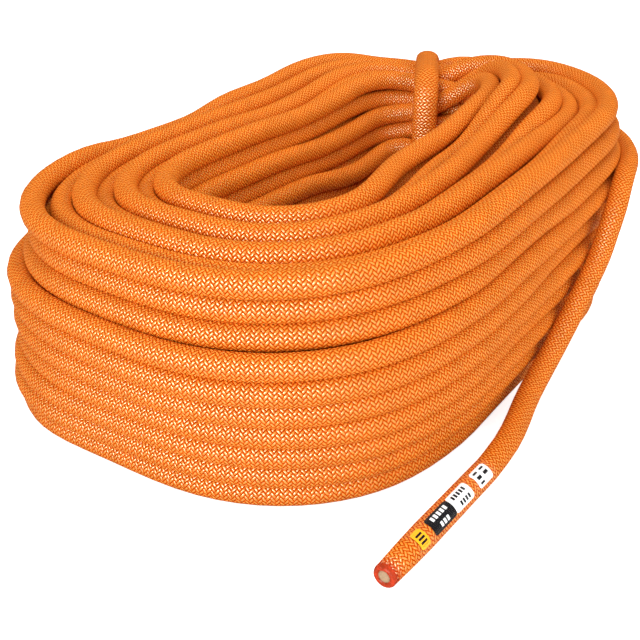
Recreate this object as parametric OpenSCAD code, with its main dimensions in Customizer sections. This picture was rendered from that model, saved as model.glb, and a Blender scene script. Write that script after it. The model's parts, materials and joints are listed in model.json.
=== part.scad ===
// Coiled kernmantle rope: an oblong factory coil held by one binding turn, with the
// free end led round the coil, down its side and laid straight on the ground.
// Millimetres, +Z up. The coil's long axis is X and the rope's cut end points to -X.

/* [Rope] */
// Diameter of the rope
rope_d = 11; // [9:0.5:12]
// Thickness of the braided sheath
sheath_wall = 1.1; // [0.8:0.1:1.4]

/* [Coil] */
// Turns stacked in the columns that stand highest
stack_turns = 10; // [6:1:12]
// Columns of turns from the slot to the outside
columns = 9; // [5:2:9]
// Distance between neighbouring columns
column_pitch = 9.5; // [9:0.1:11]
// Turns missing from the top of the innermost column
inner_step = 2; // [1:1:3]
// Distance between the centres of the two coil ends
slot_length = 146; // [120:1:180]
// Straight stretch across each end of the slot
end_flat = 22; // [12:1:32]
// Room round the middle of the slot
slot_room = 16; // [14:0.5:20]
// How far the outer side swells out at half height
side_swell = 6.5; // [3:0.5:9]
// How far the bottom turns of the outer side stand in from a straight side
foot_draw = 4; // [3:0.5:6]
// How far the top turns of the outer side stand in from a straight side
top_draw = 8; // [3:0.5:9]
// How much each ridge is flattened where the turns press together
ridge_press = 0.5; // [0.3:0.1:0.8]

/* [Binding turn] */
// Direction of the binding turn, measured from the coil's long axis
binding_angle = 30; // [20:1:40]
// Bend radius of the binding turn's corners
binding_bend = 22; // [20:1:26]
// Reach of the binding turn's upper run, from the middle of the slot's far end
binding_reach = 86; // [84:1:88]
// Free room between the rope and what it passes
clearance = 0.3; // [0.2:0.05:0.5]

/* [Rope end] */
// Length of the straight end, from the free stretch to the cut
end_length = 80; // [80:1:100]
// Length over which the sheath is melted into one plug at the cut
cap_length = 15; // [12:1:15]
// Diameter of the melted plug
cap_d = 10.6; // [10:0.1:10.8]
// Diameter of the core left showing in the cut end
cap_eye_d = 3.6; // [3:0.2:5]
// Rounding of the melted edge
cap_round = 2.6; // [2:0.1:2.8]
// Depth of the core below the lip of the melted cap
eye_depth = 0.6; // [0.4:0.1:1]
// Strands in the outer ring of the core
outer_strands = 9; // [8:1:9]
// Diameter of one core strand
strand_d = 2; // [1.6:0.1:2]
// Length over which a core strand's plies make one turn
ply_pitch = 60; // [40:1:80]
// Thickness of the marker tape that runs inside the sheath
tape_t = 0.2; // [0.1:0.05:0.3]
// Width of the marker tape
tape_w = 3; // [2:0.5:4]

/* [Labels] */
// Thickness of the labels
label_t = 0.15; // [0.1:0.05:0.25]
// Share of the rope's girth that a label covers, in degrees
label_span = 100; // [80:5:120]
// Turn of the labels from straight up towards the outside
label_turn = 29; // [20:1:40]
// Distance from the start of the straight end to the length label
length_label_at = 6; // [4:1:8]
// Length of the length label
length_label_l = 11; // [9:1:12]
// Distance from the start of the straight end to the standards label
data_label_at = 22; // [22:1:24]
// Length of the standards label
data_label_l = 14; // [12:1:14]
// Length of the dark label, which adjoins the standards label
dark_label_l = 16; // [12:1:16]
// Gap between the dark label and the year label
year_label_gap = 4; // [2:1:4]
// Length of the year label
year_label_l = 6; // [5:1:7]
// Distance from the start of the straight end to the clear sleeve
sleeve_at = 3; // [1:1:3]
// Length of the clear sleeve
sleeve_l = 61; // [60:1:62]
// Wall of the clear sleeve
sleeve_t = 0.3; // [0.2:0.05:0.4]

/* [Hidden] */
$fn = 64;
rope_r = rope_d / 2;
strand_r = strand_d / 2;
inner_strands = 3;
end_y = -130;
end_x = -84;

// Everything that lies on the sheath rests on the sleeve, so the straight end lies that much higher
sleeve_r = rope_r + label_t + sleeve_t;
end_z = sleeve_r;

tube_sides = 12;
ply_sides = 6;

// Section of the coil: distance from the slot against height
slot_half = slot_length / 2;
flat_half = end_flat / 2;
first_column = slot_room + rope_r;
last_column = first_column + (columns - 1) * column_pitch;
coil_height = stack_turns * rope_d;
ridge_r = rope_r + ridge_press;
inner_stack = stack_turns - inner_step;
function turn_z(k) = rope_r + k * rope_d;
function column_x(j) = first_column + j * column_pitch;
function column_top(j) = j % 2 == 0 ? turn_z(stack_turns - 1) : turn_z(stack_turns - 1.5);
function side_x(k) = let (u = k / (stack_turns - 1))
    last_column + 4 * side_swell * u * (1 - u) - foot_draw * (1 - u) - top_draw * u;
side_turns = [for (k = [0 : stack_turns - 1])
    [side_x(k) - ridge_press, min(turn_z(k), coil_height - ridge_r)]];
top_turns = [for (j = [columns - 2 : -1 : 1]) [column_x(j), column_top(j) - ridge_press]];
slot_turns = [for (k = [inner_stack - 1 : -1 : 0]) [first_column + ridge_press, turn_z(k)]];
ridges = concat(side_turns, top_turns, slot_turns);
base = [[first_column, 0], [side_turns[0][0], 0]];

// Corners of the slot's outline, anticlockwise, and the side that leaves each of them
corners = [
    [-slot_half, -flat_half], [slot_half, -flat_half],
    [slot_half, flat_half], [-slot_half, flat_half]
];
side_lengths = [slot_length, end_flat, slot_length, end_flat];

// Binding turn: under the bundle, up the slot and over the top, in its own upright plane
function reach(r) = let (h = flat_half * sin(binding_angle)) h + sqrt(h * h - flat_half * flat_half + r * r);
binding_in = reach(slot_room) - rope_r - clearance;
binding_out = reach(side_x(0));
binding_low = rope_r;
binding_high = coil_height + clearance + rope_r;
notch_w = rope_d + 2 * clearance;
function on_top(r) = [slot_half + r * cos(binding_angle), r * sin(binding_angle), binding_high];

// Free stretch of the rope, point by point: off the top, round the far end, down the side and
// out along the ground
route = [
    on_top(binding_reach), on_top(binding_reach + rope_d), [166, 51, 111], [173, 50, 105], [178, 42, 100],
    [181, 28, 97], [182, 12, 95], [182, -8, 94], [178, -31, 93], [168, -56, 92], [151, -80, 91],
    [133, -97, 89], [112, -108, 87], [92, -113.5, 85], [79, -116.5, 80], [70, -118.5, 73],
    [63, -119, 66], [52, -119.5, 52.5], [36, -119.5, 41], [21, -119, 29.5], [5, -118.5, 18.5],
    [-12, -119, 11], [-28, -121, 7.5], [-44, -124.5, end_z], [-62, -128, end_z],
    [end_x, end_y, end_z]
];

// The middle of the whole part's footprint is the origin
outer_edge = max([for (k = [0 : stack_turns - 1]) side_x(k)]) + rope_r;
far_x = max([for (p = route) p[0]]) + rope_r;
near_x = -slot_half - outer_edge;
back_y = flat_half + outer_edge;
front_y = end_y - sleeve_r;
centre = [-(far_x + near_x) / 2, -(front_y + back_y) / 2, 0];

// Stations along the straight end, measured from its start towards the cut
dark_label_at = data_label_at + data_label_l;
year_label_at = dark_label_at + dark_label_l + year_label_gap;
bore_r = rope_r - sheath_wall;
core_r = bore_r - tape_t;
sheath_l = end_length - cap_length;
cap_r = cap_d / 2;
ring_r = core_r - strand_r;
heart_r = strand_r / sin(180 / inner_strands);

sheath_orange = [0.95, 0.47, 0.10];
cap_orange = [0.80, 0.27, 0.08];
core_white = [0.92, 0.89, 0.80];

function unit(v) = v / norm(v);
function tangent(p, i) = unit(p[min(i + 1, len(p) - 1)] - p[max(i - 1, 0)]);
function square_to(v, t) = unit(v - (v * t) * t);
// One direction square to the route at each point, carried along without twisting
function side_dirs(p, i, before) = i == len(p) ? [] :
    let (n = square_to(before, tangent(p, i))) concat([n], side_dirs(p, i + 1, n));

// A closed tube of radius r through the points of p
module tube(p, r) {
    n = tube_sides;
    dirs = side_dirs(p, 0, [0, 0, 1]);
    points = [for (i = [0 : len(p) - 1]) let (u = dirs[i], v = cross(tangent(p, i), u))
        for (k = [0 : n - 1]) p[i] + r * (cos(360 * k / n) * u + sin(360 * k / n) * v)];
    walls = [for (i = [0 : len(p) - 2]) for (k = [0 : n - 1])
        let (a = i * n + k, b = i * n + (k + 1) % n) each [[a, b + n, b], [a, a + n, b + n]]];
    start = [for (k = [0 : n - 1]) k];
    finish = [for (k = [n - 1 : -1 : 0]) (len(p) - 1) * n + k];
    polyhedron(points, concat([start, finish], walls));
}

// Sweeps a section, drawn as distance and height, once round the slot
module around_slot() {
    for (i = [0 : 3])
        translate(corners[i]) {
            rotate([0, 0, 90 * i + 180]) rotate_extrude(angle = 90) children();
            rotate([0, 0, 90 * i - 90]) translate([0, side_lengths[i], 0])
                rotate([90, 0, 0]) linear_extrude(side_lengths[i]) children();
        }
}

// Section of the wound bundle: every turn at its edge shows as a round ridge
module bundle_section() {
    polygon(concat(base, ridges));
    intersection() {
        union() for (c = ridges) translate(c) circle(ridge_r);
        square([2 * last_column, 2 * coil_height]);
    }
}

// Moves what is drawn as reach and height into the binding turn's plane
module binding_plane() {
    translate([slot_half, 0, 0]) rotate([90, 0, binding_angle]) children();
}

// Room pressed into the underside and the slot's rim by the binding turn
module binding_notch() {
    gap = rope_r + clearance;
    bend = binding_bend - gap;
    edge = binding_in + gap;
    binding_plane() translate([0, 0, -notch_w / 2]) linear_extrude(notch_w) difference() {
        translate([0, -1]) square([2 * last_column, coil_height + 2]);
        translate([edge, binding_low + gap + bend])
            square([2 * last_column, coil_height - 2 * gap - bend]);
        translate([edge + bend, binding_low + gap]) square([2 * last_column, coil_height]);
        for (y = [binding_low + gap + bend, binding_high - gap - bend])
            translate([edge + bend, y]) circle(bend);
    }
}

module rope_coil() {
    color(sheath_orange) translate(centre) difference() {
        around_slot() bundle_section();
        binding_notch();
    }
}

module binding_turn() {
    rise = binding_high - binding_low;
    b = binding_bend;
    color(sheath_orange) translate(centre) binding_plane() translate([binding_in, binding_low, 0]) {
        for (c = [[b, 180], [rise - b, 90]]) translate([b, c[0], 0]) rotate([0, 0, c[1]])
            rotate_extrude(angle = 90) translate([b, 0]) circle(rope_r);
        translate([0, b, 0]) rotate([-90, 0, 0]) cylinder(r = rope_r, h = rise - 2 * b);
        for (run = [[0, binding_out], [rise, binding_reach]]) translate([b, run[0], 0])
            rotate([0, 90, 0]) cylinder(r = rope_r, h = run[1] - binding_in - b);
    }
}

module free_stretch() {
    color(sheath_orange) translate(centre) tube(route, rope_r);
}

// Places a shape drawn upwards from z = 0 along the straight end, "at" millimetres from its start
module along_end(at) {
    translate(centre + [end_x - at, end_y, end_z]) rotate([0, -90, 0]) children();
}

module pipe(r_in, r_out, l) {
    difference() {
        cylinder(r = r_out, h = l);
        translate([0, 0, -1]) cylinder(r = r_in, h = l + 2);
    }
}

module end_sheath() {
    color(sheath_orange) along_end(0) pipe(bore_r, rope_r, sheath_l);
}

// Centre of a core strand: three at the heart, the others in a ring round them
function strand_at(i) = i < inner_strands ?
    heart_r * [cos(360 * i / inner_strands), sin(360 * i / inner_strands)] :
    ring_r * [cos(360 * (i - inner_strands) / outer_strands + 20),
              sin(360 * (i - inner_strands) / outer_strands + 20)];

// One laid strand: three plies twisted together
module core_strand(i) {
    // Three equal circles that touch each other inside the strand's own circle
    ply_r = strand_r / (1 + 1 / sin(60));
    color(core_white) along_end(0) translate(strand_at(i))
        linear_extrude(height = sheath_l, twist = 360 * sheath_l / ply_pitch, slices = 16, $fn = ply_sides)
            for (a = [0 : 120 : 240]) rotate(a + 40 * i)
                translate([strand_r - ply_r, 0]) circle(ply_r);
}

// Part of a thin shell round the rope, facing up and outwards
module wrap(r_in, t, span, at, l) {
    along_end(at) rotate([0, 0, -label_turn - span / 2])
        rotate_extrude(angle = span) translate([r_in, 0]) square([t, l]);
}

module marker_tape() {
    color("dodgerblue") wrap(core_r, tape_t, tape_w / core_r * 180 / PI, 0, sheath_l);
}

// Melted end of the sheath, rounded over and closed in on the core
module melted_cap() {
    color(cap_orange) along_end(sheath_l) rotate_extrude() intersection() {
        union() {
            square([cap_r, cap_length - cap_round]);
            square([cap_r - cap_round, cap_length]);
            translate([cap_r - cap_round, cap_length - cap_round]) circle(cap_round);
        }
        translate([cap_eye_d / 2, 0]) square([cap_r, cap_length]);
    }
}

module core_end() {
    color(core_white) along_end(sheath_l) cylinder(d = cap_eye_d, h = cap_length - eye_depth);
}

module length_label() {
    color("white") wrap(rope_r, label_t, label_span, length_label_at, length_label_l);
}

module standards_label() {
    color("white") wrap(rope_r, label_t, label_span, data_label_at, data_label_l);
}

module dark_label() {
    color([0.1, 0.1, 0.12]) wrap(rope_r, label_t, label_span, dark_label_at, dark_label_l);
}

module year_label() {
    color([0.98, 0.70, 0.10]) wrap(rope_r, label_t, label_span, year_label_at, year_label_l);
}

module clear_sleeve() {
    color([0.95, 0.9, 0.85, 0.3]) along_end(sleeve_at) pipe(rope_r + label_t, sleeve_r, sleeve_l);
}

rope_coil();
binding_turn();
free_stretch();
end_sheath();
for (i = [1 : inner_strands + outer_strands])
    core_strand(i - 1);
marker_tape();
melted_cap();
core_end();
length_label();
standards_label();
dark_label();
year_label();
clear_sleeve();
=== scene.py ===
import json
import math

import bpy
import numpy as np
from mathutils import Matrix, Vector

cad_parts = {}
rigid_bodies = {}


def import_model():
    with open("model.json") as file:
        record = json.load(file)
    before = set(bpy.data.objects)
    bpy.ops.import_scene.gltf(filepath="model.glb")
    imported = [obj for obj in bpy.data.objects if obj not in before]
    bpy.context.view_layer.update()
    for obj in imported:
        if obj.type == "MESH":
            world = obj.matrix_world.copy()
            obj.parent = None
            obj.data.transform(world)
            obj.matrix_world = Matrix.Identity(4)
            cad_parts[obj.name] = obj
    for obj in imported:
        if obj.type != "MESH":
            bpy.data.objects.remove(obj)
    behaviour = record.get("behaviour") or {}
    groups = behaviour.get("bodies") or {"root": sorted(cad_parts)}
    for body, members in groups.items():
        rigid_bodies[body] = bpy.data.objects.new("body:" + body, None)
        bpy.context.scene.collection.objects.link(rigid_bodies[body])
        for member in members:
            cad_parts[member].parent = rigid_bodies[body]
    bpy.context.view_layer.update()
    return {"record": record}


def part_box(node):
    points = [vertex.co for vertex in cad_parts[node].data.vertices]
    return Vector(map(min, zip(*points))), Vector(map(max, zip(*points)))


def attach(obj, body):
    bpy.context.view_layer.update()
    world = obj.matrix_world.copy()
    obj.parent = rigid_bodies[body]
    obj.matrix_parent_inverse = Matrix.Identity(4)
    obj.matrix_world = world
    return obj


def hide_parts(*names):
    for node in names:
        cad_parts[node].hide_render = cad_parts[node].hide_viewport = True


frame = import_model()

bl_info = {
    "name": "Coiled Climbing Rope",
    "version": (1, 0, 0),
    "blender": (4, 5, 0),
    "location": "View3D > Sidebar > Rope",
    "description": "A 60 m kernmantle rope as wound in the factory, with its labelled free end",
    "category": "Add Mesh",
}

# The slot in the middle of the winding, from the coil's own middle: its ends are rounded about
# these corners, given as x and y and mirrored in y. A turn is laid out in STATIONS places, which
# are spaced evenly on a turn at MIDDLE_REACH from the slot.
NEAR_CORNER = (-0.073, 0.013)
FAR_CORNER = (0.073, 0.009)
MIDDLE_REACH = 0.060
STATIONS = 720

# Rows of turns in each column, from the slot outwards. Each turn steps on to the next row at the
# middle of the far end, over a share of the turn either way, and the last one ends early. The
# highest row lies LEVELS diameters over the lowest.
COLUMN_ROWS = [7, 8, 10, 9, 10, 9, 10, 9, 10]
LEVELS = max(COLUMN_ROWS) - 1
SHIFT_SHARE = 0.055
LAST_TURN_SHARE = 0.918

# The coil is higher at its far end and lower at its near end, by the share END_SWELL at SWELL_X
# from its middle. Its flanks bulge at half height and are drawn in at foot and top, and its near
# end is a little squared.
END_SWELL = 0.11
SWELL_X = 0.150
FLANK_SWELL = 0.0065
FOOT_DRAW = 0.004
TOP_DRAW = 0.006
NEAR_SQUARE = 0.002

# Places round a turn, as shares of it clockwise from the middle of the far end.
FRONT, NEAR_FRONT, NEAR_END, NEAR_BACK, FAR_BACK = 0.245, 0.445, 0.5, 0.60, 0.895

# Turns that lie off their even place: first and last column, first and last row counted down from
# the top, place round the turn, half the share it spans, share over which it fades, outward shift,
# rise.
STRAYS = [
    (0, 6, 0, 1, NEAR_END, 0.07, 0.12, -0.0085, 0.0),
    (0, 6, 2, 2, NEAR_END, 0.07, 0.12, -0.0060, 0.0),
    (0, 6, 3, 3, NEAR_END, 0.07, 0.12, -0.0030, 0.0),
    (7, 7, 0, 1, NEAR_END, 0.07, 0.12, -0.0088, 0.0),
    (7, 7, 2, 2, NEAR_END, 0.07, 0.12, -0.0075, 0.0),
    (8, 8, 0, 0, NEAR_END, 0.07, 0.12, -0.0030, 0.0),
    (8, 8, 1, 2, NEAR_END, 0.07, 0.12, -0.0100, -0.0020),
    (8, 8, 3, 3, NEAR_END, 0.07, 0.12, 0.0, 0.0015),
    (8, 8, 4, 5, NEAR_END, 0.07, 0.12, 0.0, 0.0008),
    (7, 8, 5, 9, NEAR_FRONT, 0.02, 0.05, -0.0030, 0.0),
    (8, 8, 4, 6, NEAR_BACK, 0.04, 0.06, -0.0010, 0.0),
    (8, 8, 7, 7, NEAR_BACK, 0.04, 0.06, 0.0030, 0.0),
    (8, 8, 8, 9, NEAR_BACK, 0.04, 0.06, 0.0060, 0.0),
    (8, 8, 0, 0, 0.71, 0.04, 0.035, 0.0, -0.0055),
    (8, 8, 1, 1, 0.71, 0.04, 0.035, 0.0, -0.0045),
    (8, 8, 2, 3, 0.71, 0.04, 0.035, 0.0, -0.0030),
    (8, 8, 4, 5, 0.71, 0.04, 0.035, 0.0, -0.0010),
    (8, 8, 2, 2, 0.28, 0.03, 0.045, -0.0050, -0.0025),
    (8, 8, 4, 4, 0.20, 0.03, 0.050, -0.0055, -0.0025),
    (8, 8, 6, 6, 0.27, 0.03, 0.045, -0.0040, -0.0020),
    (6, 8, 0, 3, FAR_BACK, 0.02, 0.04, 0.0, 0.0042),
    (2, 4, 0, 0, 0.805, 0.025, 0.04, 0.0, -0.0025),
    (1, 1, 0, 0, 0.820, 0.025, 0.04, 0.0, -0.0050),
    (0, 0, 0, 0, 0.830, 0.020, 0.04, -0.0020, -0.0040),
    (0, 0, 1, 1, 0.840, 0.020, 0.04, 0.0, -0.0060),
    (0, 0, 2, 3, 0.845, 0.020, 0.04, 0.0, -0.0030),
    (8, 8, 9, 9, FRONT, 0.05, 0.06, -0.0020, 0.0),
]

# The binding turn squeezes the far end into a rounder pile. For each column: how far its top rises
# there, and the share of that rise that its back side has. The rise comes in between two places
# along X, and goes over to the back's share within PILE_TURN radians of the far end's middle.
PILE_RISE = [0.004, 0.006, 0.008, 0.0200, 0.0115, 0.0105, -0.001, 0.006, 0.003]
PILE_BACK = [0.4, 0.4, 0.4, 0.4, 0.4, 0.3, 0.0, 0.0, 0.0]
PILE_FROM, PILE_TO = 0.020, 0.085
PILE_TURN = 0.25

# The front side of that pile is drawn in towards the slot. For each column: its outward shift, and
# the place along X where this starts. It comes in over PINCH_SPAN, fades over PINCH_TURN radians at
# the far end, and has the share PINCH_FOOT at the ground.
PINCH = [-0.011, -0.0105, -0.0100, -0.0080, -0.0065, -0.0035, -0.002, -0.001, 0.0]
PINCH_FROM = [-0.080, -0.080, -0.070, -0.050, -0.025, -0.010, 0.0, 0.0, 0.0]
PINCH_SPAN = 0.060
PINCH_TURN = 0.9
PINCH_FOOT = 0.3

# The binding turn, in an upright plane that starts near the middle of the slot's far end: the
# plane's foot and direction, how far the turns over it are lifted and how wide, how far out along
# the plane it climbs, how high its own line lies on the bundle, its bends, the room that it needs
# in diameters, and how much wider and thinner it is pressed.
BINDING_FOOT = (0.0741, -0.0019)
BINDING_ANGLE = math.radians(30)
BINDING_LIFT = 0.011
BINDING_WIDTH = 0.0145
BINDING_IN = 0.0126
BINDING_TOP = 0.1205
BINDING_BEND = 0.0245
BINDING_ROOM = 0.84
WIDER, THINNER = 0.28, 0.20

# The straight end, from the coil's own middle: where it starts, its axis, where the melted sheath
# begins and where it is cut. It tapers to END_RADIUS over END_TAPER.
END_X, END_Y, END_Z = -0.084, -0.130, 0.00595
MELT_X = -0.162
CUT_X = -0.164
END_RADIUS = 0.0047
END_TAPER = 0.022

# Free stretch from the top of the coil round its far end, down the flank and out along the
# ground to the straight end, from the coil's own middle.
ROUTE = [
    (0.160, 0.046, 0.116), (0.168, 0.047, 0.111), (0.175, 0.043, 0.105), (0.179, 0.035, 0.101),
    (0.1815, 0.024, 0.098), (0.182, 0.010, 0.0955), (0.182, -0.008, 0.094), (0.178, -0.031, 0.093),
    (0.168, -0.056, 0.092), (0.151, -0.080, 0.091), (0.133, -0.097, 0.089), (0.112, -0.108, 0.087),
    (0.092, -0.1135, 0.085), (0.079, -0.1165, 0.080), (0.070, -0.1185, 0.073),
    (0.063, -0.119, 0.066), (0.052, -0.1195, 0.0525), (0.036, -0.1195, 0.041),
    (0.021, -0.119, 0.0295), (0.005, -0.1185, 0.0185), (-0.012, -0.119, 0.011),
    (-0.028, -0.121, 0.0075), (-0.044, -0.1245, END_Z), (-0.062, -0.128, END_Z),
    (END_X, END_Y, END_Z),
]

# Relaxing of the turns against each other, with a point every STEP. Soft turns press into each
# other, so their middles come nearer than a diameter, and nearer still where one crosses another.
# The section stays round, and what is pressed lies inside. Two stretches lie side by side where the
# cosine between them is over ALONGSIDE.
PRESSED = 0.0099
CROSSED = 0.0086
ALONGSIDE = 0.85
STEP = 0.006
RELAX_ROUNDS = 120

# Neighbours are looked for again every few rounds, this much past a diameter, and a point is no
# neighbour of the next few along the line.
NEIGHBOUR_ROUNDS = 8
NEIGHBOUR_ROOM = 0.004
SKIP = 4

# Share of each overlap, bend and uneven step that one round takes out, and the deepest overlap that
# it looks at.
PUSH, STIFFNESS, EVENING = 0.35, 0.05, 0.25
DEEPEST = 0.003

# Pull of each round back to where the rope was laid, on the wound turns and past them, and the
# number of points before the cut that never move.
HOLD_WOUND, HOLD_FREE = 0.01, 0.35
FIXED_POINTS = 14

# The rope's mesh. The gap between its rings goes by the bend, as for a chord that sags by
# CHORD_SAG, between two bounds, and is then scaled to give RINGS in all. They are picked from a
# line with a point every FINE_STEP.
RINGS = 6700
SIDES = 14
CHORD_SAG = 0.00012
RING_GAP = (0.003, 0.014)
FINE_STEP = 0.0015

# The fused end: how far its rim reaches back into the sheath, the rim's radius as a share of the
# end's, the depth of the eye and of the core in it, and the core's radius as a share of the eye's.
RIM_OVERLAP = 0.0015
RIM_FIT = 0.985
CORE_DEPTH = 0.0012
CORE_FIT = 1.03

# Labels: radius of their corners, and the strips that they are cut into to be rolled.
LABEL_CORNER = 0.0013
LABEL_STRIPS = np.linspace(-0.45, 0.45, 13)

# Soft boxes: name, place from the coil's middle, width, height, watts, and whether it shows in
# gloss.
LAMPS = [
    ("key", (-1.17, -0.17, 0.50), 1.0, 0.4, 13.0, True),
    ("overhead", (0.15, 0.2, 1.3), 1.0, 1.0, 13.0, False),
    ("right", (0.60, -1.10, 0.6), 0.9, 0.9, 9.5, False),
    ("front", (-0.50, -1.15, 0.35), 0.8, 0.6, 3.5, False),
]

# Light of the room and the share of it that gloss doesn't see, grey of the floor and how much
# darker gloss sees it, so that neither puts haze on the rope, and the floor's glow to the camera.
WORLD_LIGHT = 0.46
WORLD_OUT_OF_GLOSS = 0.9
FLOOR_GREY = 0.86
FLOOR_OUT_OF_GLOSS = 0.76
FLOOR_GLOW = 0.68

# Pieces that lie on the rope's end.
ON_THE_END = ["length_label_film", "standards_label_film", "dark_label_film", "year_label_film",
              "melted_rim", "core_face", "clear_sleeve", "marker_tape"]


class RopeSettings(bpy.types.PropertyGroup):
    diameter: bpy.props.FloatProperty(
        name="Diameter", description="Outer diameter of the rope", default=0.011, unit="LENGTH")
    length: bpy.props.FloatProperty(
        name="Length", description="Length of the whole rope", default=60.0, unit="LENGTH")
    first_column: bpy.props.FloatProperty(
        name="First column", description="Distance of the innermost column from the slot's corners",
        default=0.0215, unit="LENGTH")
    column_pitch: bpy.props.FloatProperty(
        name="Column pitch", description="Distance from one column of turns to the next",
        default=0.0095, unit="LENGTH")
    yarn_pairs: bpy.props.IntProperty(
        name="Yarn pairs", description="Pairs of yarns round the braided sheath", default=16)
    pick: bpy.props.FloatProperty(
        name="Pick", description="Length along the rope of one crossing of the yarns",
        default=0.00165, unit="LENGTH")
    yarn: bpy.props.FloatVectorProperty(
        name="Yarn", description="Colour of the sheath yarns", size=3, subtype="COLOR",
        default=(0.82, 0.165, 0.006))
    # Painted highlight: a lighter colour on the crest of each float, standing in for light glinting
    # on the glossy yarn.
    yarn_highlight: bpy.props.FloatVectorProperty(
        name="Yarn highlight", description="Colour on top of each float", size=3, subtype="COLOR",
        default=(0.95, 0.37, 0.040))
    # Painted shade: a darker colour down between the yarns, where shade falls in the crevices.
    gap: bpy.props.FloatVectorProperty(
        name="Gap", description="Colour down between the yarns", size=3, subtype="COLOR",
        default=(0.40, 0.024, 0.001))


class EndSettings(bpy.types.PropertyGroup):
    melted: bpy.props.FloatVectorProperty(
        name="Melted end", description="Colour of the melted sheath", size=3, subtype="COLOR",
        default=(0.56, 0.045, 0.010))
    melted_lip: bpy.props.FloatProperty(
        name="Melted lip", description="Rounding of the melted sheath's outer edge", default=0.0013,
        unit="LENGTH")
    core_eye: bpy.props.FloatProperty(
        name="Core eye", description="Diameter of the core that shows in the cut end",
        default=0.0046, unit="LENGTH")
    core: bpy.props.FloatVectorProperty(
        name="Core", description="Colour of the core fibres", size=3, subtype="COLOR",
        default=(0.52, 0.34, 0.19))
    label_film: bpy.props.FloatProperty(
        name="Label film", description="Thickness of the labels", default=0.00014, unit="LENGTH")
    label_span: bpy.props.FloatProperty(
        name="Label span", description="Angle that a label covers round the rope",
        default=math.radians(80), subtype="ANGLE")
    label_turn: bpy.props.FloatProperty(
        name="Label turn", description="Turn of the labels from straight up, towards -Y",
        default=math.radians(31), subtype="ANGLE")
    white: bpy.props.FloatVectorProperty(
        name="White label", description="Colour of the white labels", size=3, subtype="COLOR",
        default=(0.86, 0.87, 0.88))
    black: bpy.props.FloatVectorProperty(
        name="Black label", description="Colour of the black label and print", size=3,
        subtype="COLOR", default=(0.008, 0.008, 0.010))
    yellow: bpy.props.FloatVectorProperty(
        name="Yellow label", description="Colour of the small label", size=3, subtype="COLOR",
        default=(0.95, 0.42, 0.015))


class StageSettings(bpy.types.PropertyGroup):
    camera_at: bpy.props.FloatVectorProperty(
        name="Camera", description="Place of the camera, from the coil's own middle", size=3,
        subtype="TRANSLATION", default=(-0.36802, -0.25281, 0.22396))
    heading: bpy.props.FloatProperty(
        name="Heading", description="Direction in which the camera looks, from +X towards +Y",
        default=math.radians(36.336), subtype="ANGLE")
    dip: bpy.props.FloatProperty(
        name="Dip", description="How far the camera looks down", default=math.radians(26.415),
        subtype="ANGLE")
    lens: bpy.props.FloatProperty(
        name="Lens", description="Focal length of the camera in millimetres", default=50.0)
    floor: bpy.props.FloatProperty(
        name="Floor", description="Side of the floor", default=9.0, unit="LENGTH")


def coil_middle():
    """The coil's own middle on the ground, in the part's frame."""
    low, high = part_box("rope_coil")
    return np.array([(low[0] + high[0]) / 2, (low[1] + high[1]) / 2, 0.0])


# ---------------------------------------------------------------- materials

def new_material(name):
    """An empty node material with its Principled shader and output."""
    material = bpy.data.materials.new(name)
    material.use_nodes = True
    tree = material.node_tree
    tree.nodes.clear()
    shader = tree.nodes.new("ShaderNodeBsdfPrincipled")
    output = tree.nodes.new("ShaderNodeOutputMaterial")
    tree.links.new(shader.outputs["BSDF"], output.inputs["Surface"])
    return material, tree, shader


def link(tree, value, socket):
    """Joins a socket to another, or writes a plain number or colour on it."""
    if isinstance(value, bpy.types.NodeSocket):
        tree.links.new(value, socket)
    else:
        socket.default_value = value


def maths(tree, operation, a, b=None, c=None, clamp=False):
    """One Math node; gives its result."""
    node = tree.nodes.new("ShaderNodeMath")
    node.operation = operation
    node.use_clamp = clamp
    for k, value in enumerate((a, b, c)):
        if value is not None:
            link(tree, value, node.inputs[k])
    return node.outputs[0]


def mix_colour(tree, share, a, b, blend="MIX"):
    """One colour Mix node; gives its result."""
    node = tree.nodes.new("ShaderNodeMix")
    node.data_type = "RGBA"
    node.blend_type = blend
    link(tree, share, node.inputs["Factor"])
    link(tree, a, node.inputs[6])
    link(tree, b, node.inputs[7])
    return node.outputs[2]


def rgba(colour):
    """A colour with full alpha."""
    return (*colour, 1.0)


def noise(tree, vector, scale, detail=2.0):
    """One Noise Texture; gives its factor."""
    node = tree.nodes.new("ShaderNodeTexNoise")
    link(tree, vector, node.inputs["Vector"])
    node.inputs["Scale"].default_value = scale
    node.inputs["Detail"].default_value = detail
    return node.outputs["Fac"]


def bump(tree, height, distance):
    """One Bump node; gives its normal."""
    node = tree.nodes.new("ShaderNodeBump")
    link(tree, height, node.inputs["Height"])
    node.inputs["Distance"].default_value = distance
    node.inputs["Strength"].default_value = 1.0
    return node.outputs["Normal"]


def object_point(tree):
    """The point on the surface in the object's own coordinates."""
    return tree.nodes.new("ShaderNodeTexCoord").outputs["Object"]


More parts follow.
